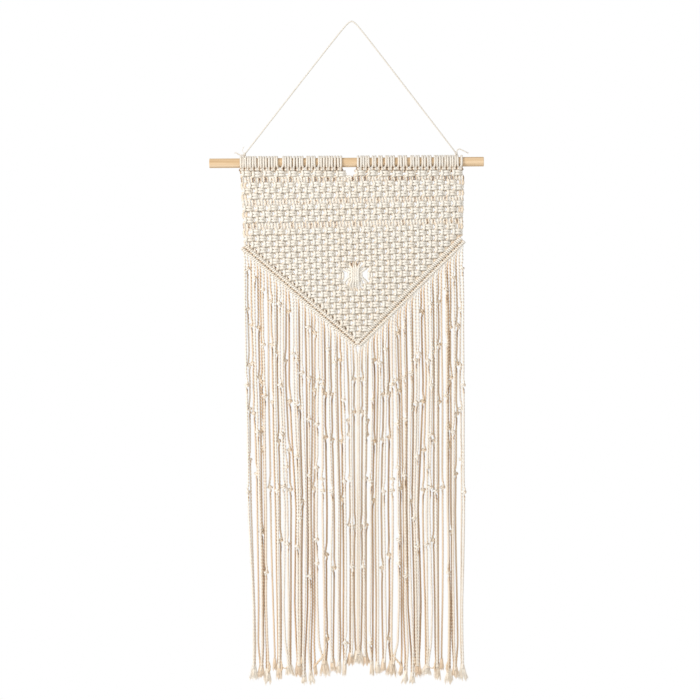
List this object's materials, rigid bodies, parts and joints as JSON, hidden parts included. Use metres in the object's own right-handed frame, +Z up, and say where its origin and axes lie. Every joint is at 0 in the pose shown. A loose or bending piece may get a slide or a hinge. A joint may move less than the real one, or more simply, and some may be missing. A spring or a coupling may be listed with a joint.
{
  "type": "macrame wall hanging with dowel",
  "caption": "Knotted cotton wall hanging with a V-shaped border and a long fringe, mounted on a round wooden dowel that hangs from a taut twine.",
  "frame": {"origin": "underside of the twine's bend, on the nail that carries the hanging", "axes": "+Z up, +X to the right as seen from the front, -Y out of the wall towards the viewer"},
  "size_m": [0.432, 0.0249, 1.0418],
  "materials": {
    "pine": "bare sanded pine",
    "cotton_cord": "matte twisted natural cotton",
    "cotton_fringe": "matte twisted natural cotton, frayed at the ends",
    "twine": "matte thin cotton twine"
  },
  "bodies": {
    "root": {"rod": "pine", "heading_left_end": "cotton_cord", "heading_left": "cotton_cord", "heading_right": "cotton_cord", "heading_right_end": "cotton_cord", "panel": "cotton_cord", "fringe_left": "cotton_fringe", "fringe_right": "cotton_fringe", "hanger_tie_left": "twine", "hanger_tie_right": "twine", "hanger_cord": "twine"}
  },
  "joints": []
}
